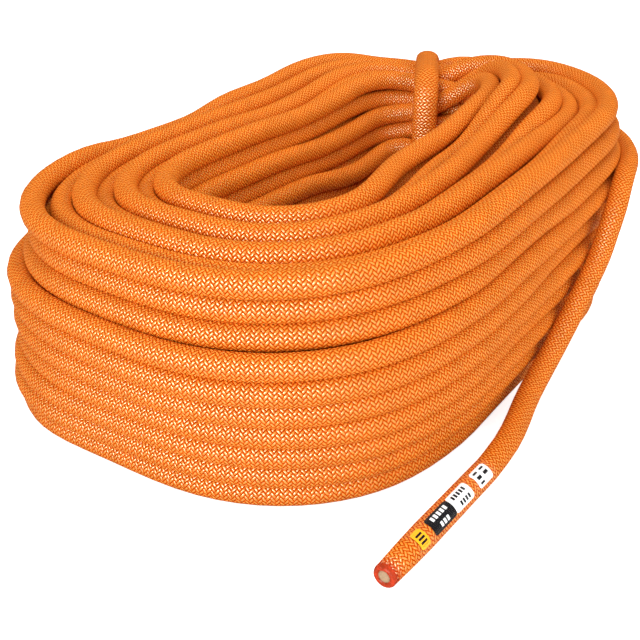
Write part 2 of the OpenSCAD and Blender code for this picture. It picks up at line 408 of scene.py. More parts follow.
def braid_material(rope, ends, cut_at):
    """Two-over, two-under braid of glossy yarns, laid out on the rope's own UV map, with painted
    shade in the gaps and a painted highlight on the crest of each float.
    """
    material, tree, shader = new_material("braided_sheath")
    split = tree.nodes.new("ShaderNodeSeparateXYZ")
    uv = tree.nodes.new("ShaderNodeUVMap")
    uv.uv_map = "along_and_round"
    tree.links.new(uv.outputs["UV"], split.inputs[0])
    along = maths(tree, "DIVIDE", split.outputs[0], rope.pick)
    round_it = maths(tree, "MULTIPLY", split.outputs[1], float(rope.yarn_pairs))
    left = maths(tree, "ADD", round_it, along)
    right = maths(tree, "SUBTRACT", round_it, along)
    left_row = maths(tree, "FLOOR", left)
    right_row = maths(tree, "FLOOR", right)
    left_part = maths(tree, "SUBTRACT", left, left_row)
    right_part = maths(tree, "SUBTRACT", right, right_row)
    # Which of the two yarns is on top goes by their place in the repeat of four.
    place = maths(tree, "FLOORED_MODULO", maths(tree, "SUBTRACT", left_row, right_row), 4.0)
    left_over = maths(tree, "LESS_THAN", place, 1.5)
    right_over = maths(tree, "SUBTRACT", 1.0, left_over)
    # Place along the float that is on top, and across it, each from 0 to 1.
    left_float = maths(tree, "MULTIPLY", maths(
        tree, "ADD", maths(tree, "SUBTRACT", 1.0, place), right_part), 0.5)
    right_float = maths(tree, "MULTIPLY", maths(
        tree, "ADD", maths(tree, "SUBTRACT", place, 2.0), left_part), 0.5)
    float_place = maths(tree, "ADD", maths(tree, "MULTIPLY", left_over, left_float),
                        maths(tree, "MULTIPLY", right_over, right_float))
    across = maths(tree, "ADD", maths(tree, "MULTIPLY", left_over, left_part),
                   maths(tree, "MULTIPLY", right_over, right_part))
    rise_along = maths(tree, "SINE", maths(tree, "MULTIPLY", float_place, math.pi))
    rise_across = maths(tree, "SINE", maths(tree, "MULTIPLY", across, math.pi))
    height = maths(tree, "MULTIPLY", maths(tree, "POWER", rise_across, 0.6),
                   maths(tree, "MULTIPLY_ADD", maths(tree, "POWER", rise_along, 0.7), 0.75, 0.25))
    ridge = maths(tree, "MULTIPLY", maths(tree, "POWER", rise_across, 1.5),
                  maths(tree, "POWER", rise_along, 0.6))
    # Each float goes from a painted shade down in the gap, over the yarn's own colour, to a painted
    # highlight on its crest.
    spots = noise(tree, object_point(tree), 130.0)
    low = mix_colour(tree, maths(tree, "MULTIPLY", ridge, 3.4, clamp=True), rgba(rope.gap),
                     rgba(rope.yarn))
    top = mix_colour(tree, maths(tree, "MULTIPLY_ADD", ridge, 2.2, -0.77, clamp=True), low,
                     rgba(rope.yarn_highlight))
    shade = maths(tree, "MULTIPLY_ADD", spots, 0.28, 0.86)
    shaded = mix_colour(tree, 1.0, top, shade, "MULTIPLY")
    # The last few millimetres are stained by the heat that sealed the end.
    scorch = maths(tree, "DIVIDE", maths(tree, "SUBTRACT", split.outputs[0], cut_at - 0.005), 0.005,
                   clamp=True)
    colour = mix_colour(tree, maths(tree, "MULTIPLY", scorch, 0.8), shaded, rgba(ends.melted))
    link(tree, colour, shader.inputs["Base Color"])
    # Only the crest of each float is glossy.
    crest = maths(tree, "MULTIPLY_ADD", ridge, 3.2, -0.8, clamp=True)
    link(tree, crest, shader.inputs["Specular IOR Level"])
    shader.inputs["IOR"].default_value = 2.4
    shader.inputs["Specular Tint"].default_value = (1.0, 0.92, 0.68, 1.0)
    shader.inputs["Roughness"].default_value = 0.30
    link(tree, bump(tree, height, 0.00045), shader.inputs["Normal"])
    return material


def melted_material(ends):
    """Sheath yarns fused by heat: smooth, darker and glossy, uneven in tone."""
    material, tree, shader = new_material("melted_sheath")
    spots = noise(tree, object_point(tree), 620.0, 3.0)
    darker = (0.5 * ends.melted[0], 0.7 * ends.melted[1], ends.melted[2])
    colour = mix_colour(tree, maths(tree, "MULTIPLY_ADD", spots, 2.4, -0.7, clamp=True),
                        rgba(darker), rgba(ends.melted))
    link(tree, colour, shader.inputs["Base Color"])
    link(tree, maths(tree, "MULTIPLY_ADD", spots, 0.25, 0.14), shader.inputs["Roughness"])
    shader.inputs["Specular IOR Level"].default_value = 0.25
    link(tree, bump(tree, spots, 0.0005), shader.inputs["Normal"])
    return material


def core_material(ends):
    """Undyed core fibres, seen end on or along their lay."""
    material, tree, shader = new_material("core_fibres")
    fibres = noise(tree, object_point(tree), 2600.0)
    darker = tuple(0.55 * c for c in ends.core)
    link(tree, mix_colour(tree, fibres, rgba(darker), rgba(ends.core)), shader.inputs["Base Color"])
    shader.inputs["Roughness"].default_value = 0.7
    link(tree, bump(tree, fibres, 0.0003), shader.inputs["Normal"])
    return material


def band(tree, value, low, high):
    """1 where the value lies between two bounds, else 0."""
    above = maths(tree, "GREATER_THAN", value, low)
    return maths(tree, "MULTIPLY", above, maths(tree, "LESS_THAN", value, high))


def label_material(name, paper, ink, columns, rows, share):
    """Thin printed film: a plain ground with short bars in rows, like a gauge's tick marks."""
    material, tree, shader = new_material(name)
    uv = tree.nodes.new("ShaderNodeUVMap")
    uv.uv_map = "label"
    split = tree.nodes.new("ShaderNodeSeparateXYZ")
    tree.links.new(uv.outputs["UV"], split.inputs[0])
    u, v = split.outputs[0], split.outputs[1]
    across = maths(tree, "MULTIPLY", u, float(columns))
    down = maths(tree, "MULTIPLY", v, float(rows))
    cell = tree.nodes.new("ShaderNodeCombineXYZ")
    link(tree, maths(tree, "FLOOR", across), cell.inputs[0])
    link(tree, maths(tree, "FLOOR", down), cell.inputs[1])
    draw = tree.nodes.new("ShaderNodeTexWhiteNoise")
    draw.noise_dimensions = "2D"
    tree.links.new(cell.outputs[0], draw.inputs["Vector"])
    printed = maths(tree, "LESS_THAN", draw.outputs["Value"], share)
    inside = maths(tree, "MULTIPLY", band(tree, u, 0.14, 0.86), band(tree, v, 0.14, 0.86))
    bar = maths(tree, "MULTIPLY", band(tree, maths(tree, "FRACT", across), 0.18, 0.82),
                band(tree, maths(tree, "FRACT", down), 0.22, 0.78))
    mask = maths(tree, "MULTIPLY", maths(tree, "MULTIPLY", printed, inside), bar)
    weave = noise(tree, object_point(tree), 1400.0)
    ground = mix_colour(tree, 1.0, rgba(paper), maths(tree, "MULTIPLY_ADD", weave, 0.16, 0.92),
                        "MULTIPLY")
    link(tree, mix_colour(tree, mask, ground, rgba(ink)), shader.inputs["Base Color"])
    link(tree, maths(tree, "MULTIPLY_ADD", weave, 0.15, 0.30), shader.inputs["Roughness"])
    link(tree, bump(tree, weave, 0.00006), shader.inputs["Normal"])
    shader.inputs["Specular IOR Level"].default_value = 0.03
    return material


def seen_share(tree):
    """Two factors: 1 for camera and transmission rays, and 1 for glossy rays, each else 0."""
    rays = tree.nodes.new("ShaderNodeLightPath")
    seen = maths(tree, "MAXIMUM", rays.outputs["Is Camera Ray"],
                 rays.outputs["Is Transmission Ray"])
    return seen, rays.outputs["Is Glossy Ray"]


def film_material():
    """Clear shrink sleeve: hardly there face on, glossy along its edges."""
    material, tree, shader = new_material("clear_film")
    edge = tree.nodes.new("ShaderNodeFresnel")
    edge.inputs["IOR"].default_value = 1.3
    streaks = noise(tree, object_point(tree), 300.0)
    shader.inputs["Base Color"].default_value = (1.0, 0.93, 0.86, 1.0)
    link(tree, maths(tree, "MULTIPLY_ADD", edge.outputs[0], 0.02, 0.002), shader.inputs["Alpha"])
    link(tree, maths(tree, "MULTIPLY_ADD", streaks, 0.10, 0.05), shader.inputs["Roughness"])
    return material


def tape_material():
    """Thin marker tape between core and sheath."""
    material, tree, shader = new_material("marker_tape")
    specks = noise(tree, object_point(tree), 900.0)
    link(tree, mix_colour(tree, specks, (0.02, 0.10, 0.42, 1.0), (0.03, 0.16, 0.60, 1.0)),
         shader.inputs["Base Color"])
    shader.inputs["Roughness"].default_value = 0.45
    return material


# ---------------------------------------------------------------- the rope's line

def slot_outline():
    """Base points and outward angles of the stations of one turn, clockwise from above."""
    near_x, near_y = NEAR_CORNER
    far_x, far_y = FAR_CORNER
    lean = math.atan2(near_y - far_y, far_x - near_x)
    quarter = math.pi / 2
    corners = [(far_x, -far_y), (near_x, -near_y), (near_x, near_y), (far_x, far_y)]
    after = [lean - quarter, -2 * quarter, -3 * quarter - lean, -4 * quarter]
    knots = [(0.0, far_x, 0.0, 0.0)]
    angle = 0.0
    for corner, turned in zip(corners, after):
        walked = knots[-1][0] + math.dist(knots[-1][1:3], corner)
        knots.append((walked, *corner, angle))
        knots.append((walked + abs(turned - angle) * MIDDLE_REACH, *corner, turned))
        angle = turned
    knots.append((knots[-1][0] + far_y, far_x, 0.0, angle))
    knots = np.array(knots)
    places = np.linspace(0, knots[-1, 0], STATIONS, endpoint=False)
    x, y, angles = (np.interp(places, knots[:, 0], knots[:, k]) for k in (1, 2, 3))
    return np.column_stack([x, y]), angles


def turn_places(rope):
    """Reach, height, column and row from the top of every turn, in the order they are wound."""
    radius = rope.diameter / 2
    places = []
    # Every other column is wound upwards, from half a diameter higher, so that the columns nest.
    for column, rows in enumerate(COLUMN_ROWS):
        upward = column % 2 == 1
        first = 2 * radius if upward else radius
        order = range(rows) if upward else reversed(range(rows))
        reach = rope.first_column + rope.column_pitch * column
        places += [(reach, first + rope.diameter * row, column, rows - 1 - row) for row in order]
    return np.array(places)


def ease(x):
    """Smooth step from 0 to 1."""
    x = np.clip(x, 0, 1)
    return x * x * (3 - 2 * x)


def straying(places, place):
    """Outward shift and rise of each turn at every place round it, one row per turn."""
    out = np.zeros((len(places), len(place)))
    rise = np.zeros_like(out)
    for first, last, high, low, middle, half, fade, shift, lift in STRAYS:
        off = np.abs((place - middle + 0.5) % 1 - 0.5)
        weight = ease((half + fade - off) / fade)
        turns = (places[:, 2] >= first) & (places[:, 2] <= last)
        turns &= (places[:, 3] >= high) & (places[:, 3] <= low)
        out[turns] += shift * weight
        rise[turns] += lift * weight
    return out, rise


def binding_nearness(xy, track):
    """1 over the binding turn's track under the bundle, fading to its sides."""
    gap = np.full(len(xy), np.inf)
    for point in track:
        gap = np.minimum(gap, np.hypot(*(xy - point[:2]).T))
    return np.exp(-(gap / BINDING_WIDTH) ** 2)


def binding_plane(out, side):
    """A point given along and across the binding turn's plane, seen from above."""
    cosine, sine = math.cos(BINDING_ANGLE), math.sin(BINDING_ANGLE)
    x, y = BINDING_FOOT
    return (x + out * cosine - side * sine, y + out * sine + side * cosine)


def pinched(column, u, x, angle):
    """Outward shift of the turns on the front side of the far end, which are drawn in."""
    shift = np.interp(column, range(len(PINCH)), PINCH) * (PINCH_FOOT + (1 - PINCH_FOOT) * u)
    start = np.interp(column, range(len(PINCH)), PINCH_FROM)
    shift *= ease((x - start) / PINCH_SPAN) * ease(-angle / PINCH_TURN)
    return shift * (angle > -math.pi)


def piled(column, u, x, angle):
    """Rise of the turns at the far end, which are squeezed up."""
    rise = np.interp(column, range(len(PILE_RISE)), PILE_RISE) * u
    rise *= ease((x - PILE_FROM) / (PILE_TO - PILE_FROM))
    facing = angle + 2 * math.pi * (angle < -math.pi)
    behind = np.interp(column, range(len(PILE_BACK)), PILE_BACK)
    return rise * (behind + (1 - behind) * ease((PILE_TURN - facing) / (2 * PILE_TURN)))


def wound_turns(rope):
    """Centreline of all the turns, one after the other, and the track that leads in under them."""
    places = turn_places(rope)
    base, angles = slot_outline()
    count = len(places)
    turned = np.arange(int((count - 1 + LAST_TURN_SHARE) * STATIONS)) / STATIONS
    now = np.minimum((turned + SHIFT_SHARE).astype(int), count - 1)
    before = np.maximum(now - 1, 0)
    share = ease((turned - now + SHIFT_SHARE) / (2 * SHIFT_SHARE))
    station = (turned * STATIONS).astype(int) % STATIONS
    out, rise = straying(places, np.arange(STATIONS) / STATIONS)
    stray_out = out[before, station] * (1 - share) + out[now, station] * share
    stray_rise = rise[before, station] * (1 - share) + rise[now, station] * share
    reach, z = (places[before, :2] * (1 - share[:, None]) + places[now, :2] * share[:, None]).T
    angle = angles[station]
    radius = rope.diameter / 2
    # Place of each turn in the bundle: u from the foot to the top, outer from the slot outwards.
    u = (z - radius) / (LEVELS * rope.diameter)
    outer = (reach - rope.first_column) / (rope.column_pitch * (len(COLUMN_ROWS) - 1))
    swell = outer * (FLANK_SWELL * 4 * u * (1 - u) - FOOT_DRAW * (1 - u) - TOP_DRAW * u)
    square = -NEAR_SQUARE * np.cos(4 * angle) * outer * (np.cos(angle) < 0)
    column = (reach - rope.first_column) / rope.column_pitch
    even_x = base[station, 0] + reach * np.cos(angle)
    away = (reach + swell + square + stray_out + pinched(column, u, even_x, angle))[:, None]
    xy = base[station] + away * np.column_stack([np.cos(angle), np.sin(angle)])
    z = z + stray_rise
    end = np.array([xy[-1], xy[-1] - xy[-2]])
    track = lead_in(end[0], end[1] / np.linalg.norm(end[1]))
    near = binding_nearness(xy, track) * (now < count - 1)
    sag = (z - radius) * END_SWELL * xy[:, 0] / SWELL_X
    pile = piled(column, u, even_x, angle)
    # The turns over the lead-in are lifted by it, all but the outermost column, and the ones under
    # its top run are pressed down.
    lifted = BINDING_LIFT * (1 - u) * (outer < 0.95)
    room = BINDING_TOP - rope.diameter * (BINDING_ROOM + (1 - u) * LEVELS)
    pressed = np.maximum(z + sag + pile - room, 0)
    z = z + sag + pile + near * (lifted - pressed * u)
    return np.column_stack([xy, z]), track


def lead_in(start, heading):
    """Track from the end of the last turn round into the binding turn's plane and to the slot."""
    cosine, sine = math.cos(BINDING_ANGLE), math.sin(BINDING_ANGLE)
    away = start - BINDING_FOOT
    out, side = away @ (cosine, sine), away @ (-sine, cosine)
    facing = np.array([heading @ (cosine, sine), heading @ (-sine, cosine)])
    bend = side / (1 + facing[0])
    middle = np.array([out + bend * facing[1], side - bend * facing[0]])
    first = math.atan2(facing[1], facing[0])
    arc = []
    for turn in np.linspace(first, -math.pi, 7)[1:]:
        arc.append(middle + bend * np.array([-math.sin(turn), math.cos(turn)]))
    last = BINDING_IN + BINDING_BEND
    run = [np.array([reach, 0.0]) for reach in np.linspace(arc[-1][0], last, 5)[1:]]
    return [binding_plane(*point) for point in arc + run]


def binding_points(rope, track):
    """The binding turn: in under the bundle, up the slot and out over the top."""
    radius = rope.diameter / 2
    rise = BINDING_TOP - radius
    bend = BINDING_BEND
    turn = np.radians([22.5, 45, 67.5, 90])
    up = [(BINDING_IN + bend * (1 - math.sin(t)), radius + bend * (1 - math.cos(t))) for t in turn]
    wall = [(BINDING_IN, radius + rise * share) for share in (0.35, 0.5, 0.65)]
    top = [(BINDING_IN + bend * (1 - math.sin(t)), BINDING_TOP - bend * (1 - math.cos(t)))
           for t in turn[::-1]]
    over = [(reach, BINDING_TOP) for reach in (BINDING_IN + bend, 0.046, 0.058, 0.072, 0.086)]
    under = [(*point, radius) for point in track]
    return under + [(*binding_plane(reach, 0.0), z) for reach, z in up + wall + top + over]


def through(points, gap):
    """A smooth line through the points, a point every gap along it."""
    points = np.asarray(points)
    ends = np.vstack([2 * points[0] - points[1], points, 2 * points[-1] - points[-2]])
    a, b, c, d = (ends[k:len(ends) - 3 + k][:, None] for k in range(4))
    t = np.linspace(0, 1, 12, endpoint=False)[None, :, None]
    line = 0.5 * (2 * b + (c - a) * t + (2 * a - 5 * b + 4 * c - d) * t ** 2
                  + (3 * b - a - 3 * c + d) * t ** 3)
    return evenly(np.vstack([line.reshape(-1, 3), points[-1]]), gap)


def evenly(line, gap):
    """The same line with its points the same distance apart."""
    walked = np.r_[0, np.cumsum(np.linalg.norm(np.diff(line, axis=0), axis=1))]
    count = int(round(walked[-1] / gap))
    places = np.linspace(0, walked[-1], count + 1)
    return np.column_stack([np.interp(places, walked, line[:, k]) for k in range(3)])


def close_pairs(points, reach, skip):
    """Pairs of points nearer than reach, and more than skip apart along the line."""
    cell = np.floor(points / reach).astype(np.int64)
    cell -= cell.min(0) - 1
    span = cell.max(0) + 2
    key = (cell[:, 0] * span[1] + cell[:, 1]) * span[2] + cell[:, 2]
    order = np.argsort(key, kind="stable")
    ordered = key[order]
    near = (-1, 0, 1)
    steps = [(x * span[1] + y) * span[2] + z for x in near for y in near for z in near]
    firsts, seconds = [], []
    for step in (s for s in steps if s >= 0):
        low = np.searchsorted(ordered, key + step, "left")
        many = np.searchsorted(ordered, key + step, "right") - low
        first = np.repeat(np.arange(len(points)), many)
        start = np.repeat(low - np.r_[0, np.cumsum(many)[:-1]], many)
        second = order[np.arange(many.sum()) + start]
        keep = first < second if step == 0 else slice(None)
        firsts.append(first[keep])
        seconds.append(second[keep])
    first, second = np.concatenate(firsts), np.concatenate(seconds)
    keep = np.abs(first - second) > skip
    first, second = first[keep], second[keep]
    keep = ((points[first] - points[second]) ** 2).sum(1) < reach * reach
    return first[keep], second[keep]


def relax(line, hold, fixed, rope):
    """Lets the turns push each other apart until they only press, near where they were wound."""
    points = line.copy()
    count = len(points)
    for done in range(RELAX_ROUNDS):
        if done % NEIGHBOUR_ROUNDS == 0:
            first, second = close_pairs(points, rope.diameter + NEIGHBOUR_ROOM, SKIP)
        heading = np.gradient(points, axis=0)
        heading /= np.linalg.norm(heading, axis=1)[:, None]
        apart = points[second] - points[first]
        cosine = (heading[first] * heading[second]).sum(1)
        shared = heading[first] + np.sign(cosine)[:, None] * heading[second]
        shared /= np.linalg.norm(shared, axis=1)[:, None] + 1e-12
        along = (apart * shared).sum(1)
        side_by_side = np.abs(cosine) > ALONGSIDE
        push = np.where(side_by_side[:, None], apart - along[:, None] * shared, apart)
        distance = np.linalg.norm(push, axis=1) + 1e-12
        weight = np.where(side_by_side, np.clip(1 - np.abs(along) / STEP, 0, 1), 0.5)
        room = np.where(side_by_side, PRESSED, CROSSED)
        sunk = np.clip(room - distance, 0, DEEPEST) * weight
        push *= (PUSH * sunk / distance)[:, None]
        for k in range(3):
            points[:, k] += (np.bincount(second, push[:, k], count)
                             - np.bincount(first, push[:, k], count))
        bend = np.zeros_like(points)
        bend[2:-2] = (points[:-4] - 4 * points[1:-3] + 6 * points[2:-2] - 4 * points[3:-1]
                      + points[4:])
        points -= STIFFNESS * bend
        edge = points[1:] - points[:-1]
        length = np.linalg.norm(edge, axis=1)
        edge *= (EVENING * (length - STEP) / length)[:, None]
        points[:-1] += edge
        points[1:] -= edge
        points += hold[:, None] * (line - points)
        points[:, 2] = np.maximum(points[:, 2], rope.diameter / 2)
        points[fixed] = line[fixed]
    return points


def rope_line(rope):
    """Centreline of the whole rope, from its inner end to the cut, in the part's frame."""
    coil, track = wound_turns(rope)
    led = through([coil[-1]] + binding_points(rope, track) + ROUTE, STEP)[1:]
    count = int(round((END_X - MELT_X) / STEP))
    last = np.column_stack([np.linspace(END_X, MELT_X, count + 1)[1:], np.full(count, END_Y),
                            np.full(count, END_Z)])
    line = evenly(np.vstack([coil, led, last]), STEP)
    free = int(round(np.linalg.norm(np.diff(np.vstack([led, last]), axis=0), axis=1).sum() / STEP))
    hold = np.full(len(line), HOLD_WOUND)
    hold[-free:] = HOLD_FREE
    fixed = np.zeros(len(line), bool)
    fixed[-FIXED_POINTS:] = True
    return relax(line, hold, fixed, rope) + coil_middle()


def ring_centres(line):
    """Centres of the tube's rings, closer together in bends, and the length walked to each."""
    fine = through(line, FINE_STEP)
    heading = np.gradient(fine, axis=0)
    heading /= np.linalg.norm(heading, axis=1)[:, None]
    bend = np.linalg.norm(np.gradient(heading, axis=0), axis=1) / FINE_STEP
    bend = np.convolve(bend, np.ones(9) / 9, "same")
    gap = np.clip(np.sqrt(8 * CHORD_SAG / np.maximum(bend, 1e-3)), *RING_GAP)
    need = np.r_[0, np.cumsum(1 / gap[1:])]
    pick = np.interp(np.linspace(0, need[-1], RINGS), need, np.arange(len(fine)))
    walked = np.arange(len(fine)) * FINE_STEP
    centres = np.column_stack([np.interp(pick, np.arange(len(fine)), fine[:, k]) for k in range(3)])
    return centres, np.interp(pick, np.arange(len(fine)), walked)


def flattening(centres):
    """Direction across the binding turn, and how far each ring is pressed flat, from 0 to 1."""
    across = np.array([-math.sin(BINDING_ANGLE), math.cos(BINDING_ANGLE), 0.0])
    heading = np.gradient(centres, axis=0)
    heading /= np.linalg.norm(heading, axis=1)[:, None]
    off = (centres - coil_middle() - [*BINDING_FOOT, 0.0]) @ across
    # Only what runs along the binding turn's plane, near it, off the ground and past the slot.
    in_plane = ease((0.35 - np.abs(heading @ across)) / 0.2) * ease((0.010 - np.abs(off)) / 0.006)
    beyond = centres[:, 0] - coil_middle()[0] - FAR_CORNER[0]
    return across, in_plane * ease((centres[:, 2] - 0.03) / 0.03) * (beyond > 0)


def tube_mesh(name, centres, walked, radii):
    """A closed tube on the centres, with a UV map of metres along and turns round."""
    heading = np.gradient(centres, axis=0)
    heading /= np.linalg.norm(heading, axis=1)[:, None]
    side = np.empty_like(heading)
    side[0] = np.cross(heading[0], [0.0, 0.0, 1.0])
    side[0] /= np.linalg.norm(side[0])
    for k in range(1, len(side)):
        side[k] = side[k - 1] - heading[k] * (heading[k] @ side[k - 1])
        side[k] /= np.linalg.norm(side[k])
    up = np.cross(heading, side)
    angle = np.linspace(0, 2 * np.pi, SIDES, endpoint=False)
    rings = (centres[:, None] + radii[:, None, None] * (
        np.cos(angle)[None, :, None] * side[:, None] + np.sin(angle)[None, :, None] * up[:, None]))
    across, flat = flattening(centres)
    spread = rings - centres[:, None]
    sideways = (spread @ across)[:, :, None] * across
    rings += flat[:, None, None] * (WIDER * sideways - THINNER * (spread - sideways))
    verts = np.vstack([rings.reshape(-1, 3), centres[:1], centres[-1:]])
    ring = np.arange(len(centres) - 1)[:, None] * SIDES
    here = np.arange(SIDES)[None]
    after = (here + 1) % SIDES
    quads = np.stack([ring + here, ring + after, ring + SIDES + after, ring + SIDES + here], -1)
    first, last = len(verts) - 2, len(verts) - 1
    top = (len(centres) - 1) * SIDES
    fans = [(first, (k + 1) % SIDES, k) for k in range(SIDES)]
    fans += [(last, top + k, top + (k + 1) % SIDES) for k in range(SIDES)]
    mesh = bpy.data.meshes.new(name)
    mesh.from_pydata(verts.tolist(), [], quads.reshape(-1, 4).tolist() + fans)
    u = np.stack([walked[:-1, None] + 0 * here] * 2 + [walked[1:, None] + 0 * here] * 2, -1)
    v = np.stack([here, here + 1, here + 1, here], -1) / SIDES + 0 * u
    quad_uv = np.stack([u, v], -1).reshape(-1, 2)
    fan_uv = np.array([(walked[0], 0.0)] * (3 * SIDES) + [(walked[-1], 0.0)] * (3 * SIDES))
    layer = mesh.uv_layers.new(name="along_and_round")
    layer.data.foreach_set("uv", np.vstack([quad_uv, fan_uv]).ravel())
    mesh.polygons.foreach_set("use_smooth", [True] * len(mesh.polygons))
    mesh.update()
    made = bpy.data.objects.new(name, mesh)
    bpy.context.scene.collection.objects.link(made)
    return made


# ---------------------------------------------------------------- small pieces

def as_piece(name):
    """The object just added, named, with its place taken into its mesh."""
    made = bpy.context.active_object
    made.name = name
    made.data.name = name
    bpy.ops.object.transform_apply(location=True, rotation=True, scale=True)
    return made


def clear_selection():
    """Nothing selected before the next piece is made."""
    if bpy.context.object and bpy.context.object.mode != "OBJECT":
        bpy.ops.object.mode_set(mode="OBJECT")
    bpy.ops.object.select_all(action="DESELECT")


def select_faces(mesh, wanted):
    """Selects the faces that pass a test, and nothing else; the object is in object mode."""
    for face in mesh.polygons:
        face.select = bool(wanted(face))
    for edge in mesh.edges:
        edge.select = False
    for vertex in mesh.vertices:
        vertex.select = False
    for face in mesh.polygons:
        if face.select:
            for k in face.vertices:
                mesh.vertices[k].select = True


def edit(mode="FACE"):
    """Edit mode on the active piece, choosing vertices, edges or faces."""
    bpy.ops.object.mode_set(mode="EDIT")
    bpy.ops.mesh.select_mode(type=mode)


def end_centre():
    """Axis of the straight end in the part's frame, at the coil's own middle."""
    return coil_middle() + [0.0, END_Y, END_Z]


def melted_rim(ends):
    """The fused end of the sheath: a short collar, rounded over and dished round the core."""
    clear_selection()
    radius = END_RADIUS * RIM_FIT
    start = MELT_X + RIM_OVERLAP
    length = start - CUT_X
    axis = end_centre()
    bpy.ops.mesh.primitive_cylinder_add(
        vertices=48, radius=radius, depth=length, rotation=(0, -math.pi / 2, 0),
        location=(axis[0] + start - length / 2, axis[1], axis[2]))
    rim = as_piece("melted_rim")
    cut = axis[0] + CUT_X
    select_faces(rim.data, lambda face: face.normal.x < -0.9)
    edit()
    bpy.ops.mesh.bevel(offset=ends.melted_lip, segments=6, affect="EDGES", clamp_overlap=True)
    bpy.ops.object.mode_set(mode="OBJECT")
    select_faces(rim.data, lambda face: face.normal.x < -0.999 and face.center.x < cut + 1e-5
                 and len(face.vertices) > 8)
    edit()
    flat = radius - ends.melted_lip - ends.core_eye / 2
    for share, dish in ((0.6, 0.0003), (0.4, 0.0004)):
        bpy.ops.mesh.inset(thickness=flat * share)
        bpy.ops.transform.translate(value=(dish, 0, 0))
    bpy.ops.mesh.extrude_region_move(TRANSFORM_OT_translate={"value": (CORE_DEPTH, 0, 0)})
    bpy.ops.object.mode_set(mode="OBJECT")
    uneven(rim, 0.00022, 0.0022, (cut, cut + 0.004))
    bpy.ops.object.shade_smooth()
    return rim


def uneven(piece, depth, grain, span):
    """Leaves a melted or cut surface slightly lumpy between two places along X."""
    texture = bpy.data.textures.new(piece.name + "_lumps", "CLOUDS")
    texture.noise_scale = grain
    group = piece.vertex_groups.new(name="lumpy")
    for vertex in piece.data.vertices:
        inside = span[0] - 0.001 < vertex.co.x < span[1]
        group.add([vertex.index], 1.0 if inside else 0.0, "REPLACE")
    modifier = piece.modifiers.new("lumps", "DISPLACE")
    modifier.texture = texture
    modifier.texture_coords = "LOCAL"
    modifier.strength = depth
    modifier.vertex_group = "lumpy"
    bpy.context.view_layer.objects.active = piece
    bpy.ops.object.modifier_apply(modifier="lumps")
    bpy.data.textures.remove(texture)


def core_face(ends):
    """The cut core that shows in the melted rim: a shallow, uneven dome."""
    clear_selection()
    axis = end_centre()
    radius = ends.core_eye / 2 * CORE_FIT
    place = (axis[0] + CUT_X + CORE_DEPTH, axis[1], axis[2])
    bpy.ops.mesh.primitive_cylinder_add(
        vertices=32, radius=radius, depth=CORE_DEPTH, rotation=(0, -math.pi / 2, 0),
        location=place)
    core = as_piece("core_face")
    select_faces(core.data, lambda face: face.normal.x < -0.9)
    edit()
    for share, out in ((0.25, 0.00018), (0.30, 0.00012), (0.30, 0.00005)):
        bpy.ops.mesh.inset(thickness=radius * share)
        bpy.ops.transform.translate(value=(-out, 0, 0))
    bpy.ops.mesh.poke()
    bpy.ops.mesh.subdivide(number_cuts=1)
    bpy.ops.object.mode_set(mode="OBJECT")
    uneven(core, 0.00025, 0.0006, (place[0] - CORE_DEPTH, place[0] - 0.0005))
    bpy.ops.object.shade_smooth()
    return core


def wrapped_label(name, start, length, rope, ends):
    """A label with rounded corners, cut flat and rolled on to the straight end."""
    clear_selection()
    outside = rope.diameter / 2 + ends.label_film
    width = ends.label_span * outside
    bpy.ops.mesh.primitive_plane_add(size=1.0)
    label = bpy.context.active_object
    label.scale = (length, width, 1.0)
    label = as_piece(name)
    edit("VERT")
    bpy.ops.mesh.select_all(action="SELECT")
    bpy.ops.mesh.bevel(offset=LABEL_CORNER, segments=5, affect="VERTICES")
    for share in LABEL_STRIPS:
        bpy.ops.mesh.select_all(action="SELECT")
        bpy.ops.mesh.bisect(plane_co=(0, share * width, 0), plane_no=(0, 1, 0))
    bpy.ops.object.mode_set(mode="OBJECT")
    mesh = label.data
    while mesh.uv_layers:
        mesh.uv_layers.remove(mesh.uv_layers[0])
    layer = mesh.uv_layers.new(name="label")
    for loop in mesh.loops:
        place = mesh.vertices[loop.vertex_index].co
        layer.data[loop.index].uv = (place.x / length + 0.5, place.y / width + 0.5)
    axis = end_centre()
    middle = axis[0] + start - length / 2
    for vertex in mesh.vertices:
        turn = ends.label_turn - vertex.co.y / outside
        vertex.co = (middle + vertex.co.x, axis[1] - outside * math.sin(turn),
                     axis[2] + outside * math.cos(turn))
    wall = label.modifiers.new("film", "SOLIDIFY")
    wall.thickness = ends.label_film
    wall.offset = -1.0
    bpy.ops.object.modifier_apply(modifier="film")
    bpy.ops.object.shade_smooth_by_angle(angle=math.radians(40))
    return label


